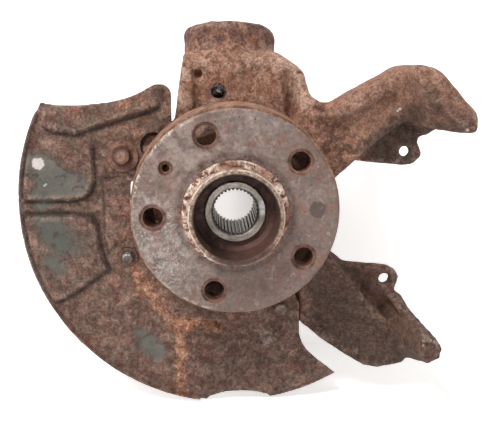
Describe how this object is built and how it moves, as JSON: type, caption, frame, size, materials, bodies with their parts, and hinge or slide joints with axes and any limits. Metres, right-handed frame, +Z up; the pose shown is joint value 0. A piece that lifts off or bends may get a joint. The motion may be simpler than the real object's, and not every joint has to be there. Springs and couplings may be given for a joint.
{
  "type": "steering knuckle",
  "caption": "Rusty cast front steering knuckle with a flanged wheel hub on a double-row bearing, a part-round splash shield, strut clamp and brake caliper arms.",
  "frame": {"origin": "on the hub axis, in the plane of the flange's wheel face", "axes": "+Y inboard along the hub axis, +X to the rear of the car, +Z up"},
  "size_m": [0.282, 0.1436, 0.2522],
  "materials": {
    "rusted_casting": "cast, evenly rusted",
    "rusted_sheet": "flaked paint over rusted sheet steel",
    "screw_steel": "rusted",
    "hub_steel": "turned, stained grey brown",
    "sensor_ring_steel": "rusted stamping",
    "bearing_steel": "ground",
    "ball_steel": "polished",
    "cage_nylon": "moulded",
    "seal_rubber": "moulded",
    "spring_steel": "phosphated, stained",
    "sensor_plastic": "moulded, dirty"
  },
  "bodies": {
    "knuckle": {"knuckle_casting": "rusted_casting", "splash_shield": "rusted_sheet", "shield_screw_upper": "screw_steel", "shield_screw_lower": "screw_steel", "shield_screw_bottom": "screw_steel", "bearing_outer_ring": "bearing_steel", "bearing_seal_outboard": "seal_rubber", "bearing_seal_inboard": "seal_rubber", "bearing_circlip": "spring_steel", "speed_sensor": "sensor_plastic", "speed_sensor_screw": "screw_steel"},
    "hub": {"wheel_hub": "hub_steel", "speed_sensor_ring": "sensor_ring_steel", "bearing_inner_ring_outboard": "bearing_steel", "bearing_inner_ring_inboard": "bearing_steel"},
    "ball_train": {"bearing_balls_outboard": "ball_steel", "bearing_balls_inboard": "ball_steel", "bearing_cage_outboard": "cage_nylon", "bearing_cage_inboard": "cage_nylon"}
  },
  "joints": [
    {"name": "hub_spin", "type": "hinge", "parent": "knuckle", "child": "hub", "pos_m": [0, 0.0405, 0], "axis": [0, 1, 0], "continuous": true},
    {"name": "ball_train_turn", "type": "hinge", "parent": "knuckle", "child": "ball_train", "pos_m": [0, 0.0405, 0], "axis": [0, 1, 0], "continuous": true}
  ],
  "couplings": [
    {"joint": "ball_train_turn", "follows": "hub_spin", "ratio": 0.418}
  ]
}
